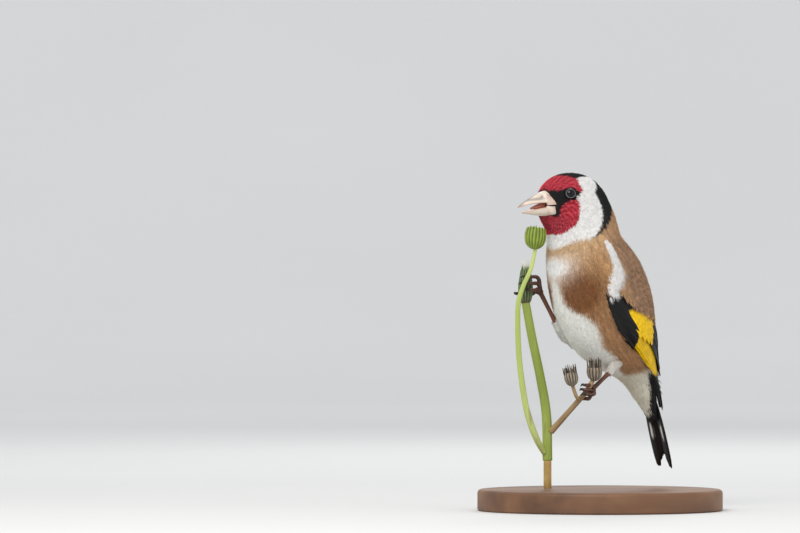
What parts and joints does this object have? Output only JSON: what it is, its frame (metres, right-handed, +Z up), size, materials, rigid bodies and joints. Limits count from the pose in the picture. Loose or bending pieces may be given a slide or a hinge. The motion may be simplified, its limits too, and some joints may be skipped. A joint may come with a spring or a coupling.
{
  "type": "european goldfinch",
  "caption": "Life-size still model of a European goldfinch with a red face and yellow wing bars, clinging upright to a cut plant stem on a round display stand",
  "frame": {"origin": "middle of the stand base's underside", "axes": "+Z up and the longest extent; the bird faces -X, and +Y is its right side"},
  "size_m": [0.092, 0.092, 0.1266],
  "materials": {
    "plumage_head": "matte feathers: red face, black crown, white cheek",
    "plumage_neck": "matte feathers: white collar, buff and brown",
    "plumage_torso": "matte feathers: warm brown back and breast patches, white belly",
    "plumage_tail": "satin black feathers with white coverts",
    "plumage_wing": "satin black feathers with a yellow bar",
    "plumage_thigh": "matte white feathers",
    "eye": "high gloss, very dark brown",
    "bill": "satin ivory horn with a grey ridge and tip",
    "leg": "satin brown scales",
    "foot": "satin brown scales, dark claws",
    "stem": "ribbed green plant stem",
    "stalk": "dry buff plant stalk",
    "bud": "ribbed green bracts of a closed flower head",
    "twig": "thin light green plant stalk",
    "round_bud": "overlapping yellow-green bracts",
    "seed_head": "dry brown bracts and bristles",
    "stand_wood": "satin lacquered",
    "stand_metal": "brushed"
  },
  "bodies": {
    "root": {"head": "plumage_head", "neck": "plumage_neck", "torso": "plumage_torso", "tail": "plumage_tail", "wing_left": "plumage_wing", "wing_right": "plumage_wing", "thigh_left": "plumage_thigh", "thigh_right": "plumage_thigh", "eye_left": "eye", "eye_right": "eye", "bill_upper": "bill", "bill_lower": "bill", "tarsus_left": "leg", "tarsus_right": "leg", "foot_left": "foot", "foot_right": "foot", "perch_stem": "stem", "perch_stalk": "stalk", "perch_bud": "bud", "perch_twig": "twig", "perch_round_bud": "round_bud", "perch_side_stalk": "stalk", "perch_seed_head_upper": "seed_head", "perch_seed_head_side": "seed_head", "stand_base": "stand_wood", "stand_rod": "stand_metal"}
  },
  "joints": []
}
